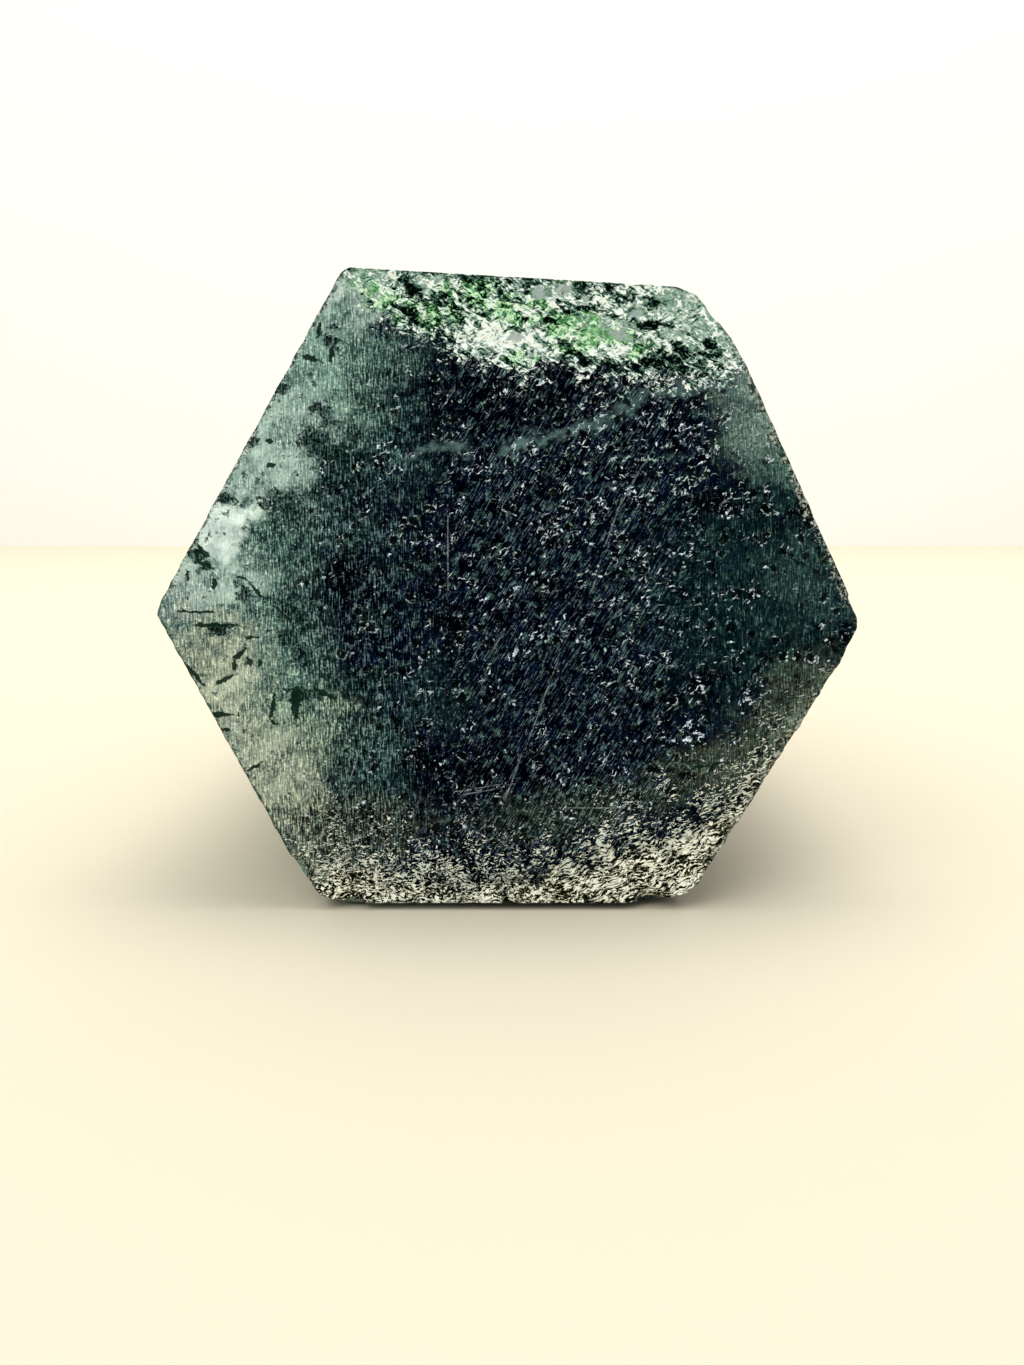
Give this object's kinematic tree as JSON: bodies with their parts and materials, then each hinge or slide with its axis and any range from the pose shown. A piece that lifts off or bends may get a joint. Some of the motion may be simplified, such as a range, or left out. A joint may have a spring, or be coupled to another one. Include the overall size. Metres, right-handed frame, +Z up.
{
  "type": "ruby in zoisite point",
  "caption": "Hand-cut hexagonal stone point of dark green zoisite, lying on a side face, with a flat sawn base and a faceted tip; a display piece.",
  "frame": {"origin": "on the floor, under the middle of the stone's bounding box", "axes": "+Z up from the side face it lies on, +Y along the stone from the sawn base towards the tip, +X to the right seen from the base"},
  "size_m": [0.042, 0.0878, 0.0382],
  "materials": {
    "stone": "sawn and lapped base, polished sides and tip"
  },
  "bodies": {
    "root": {"zoisite_point": "stone"}
  },
  "joints": []
}
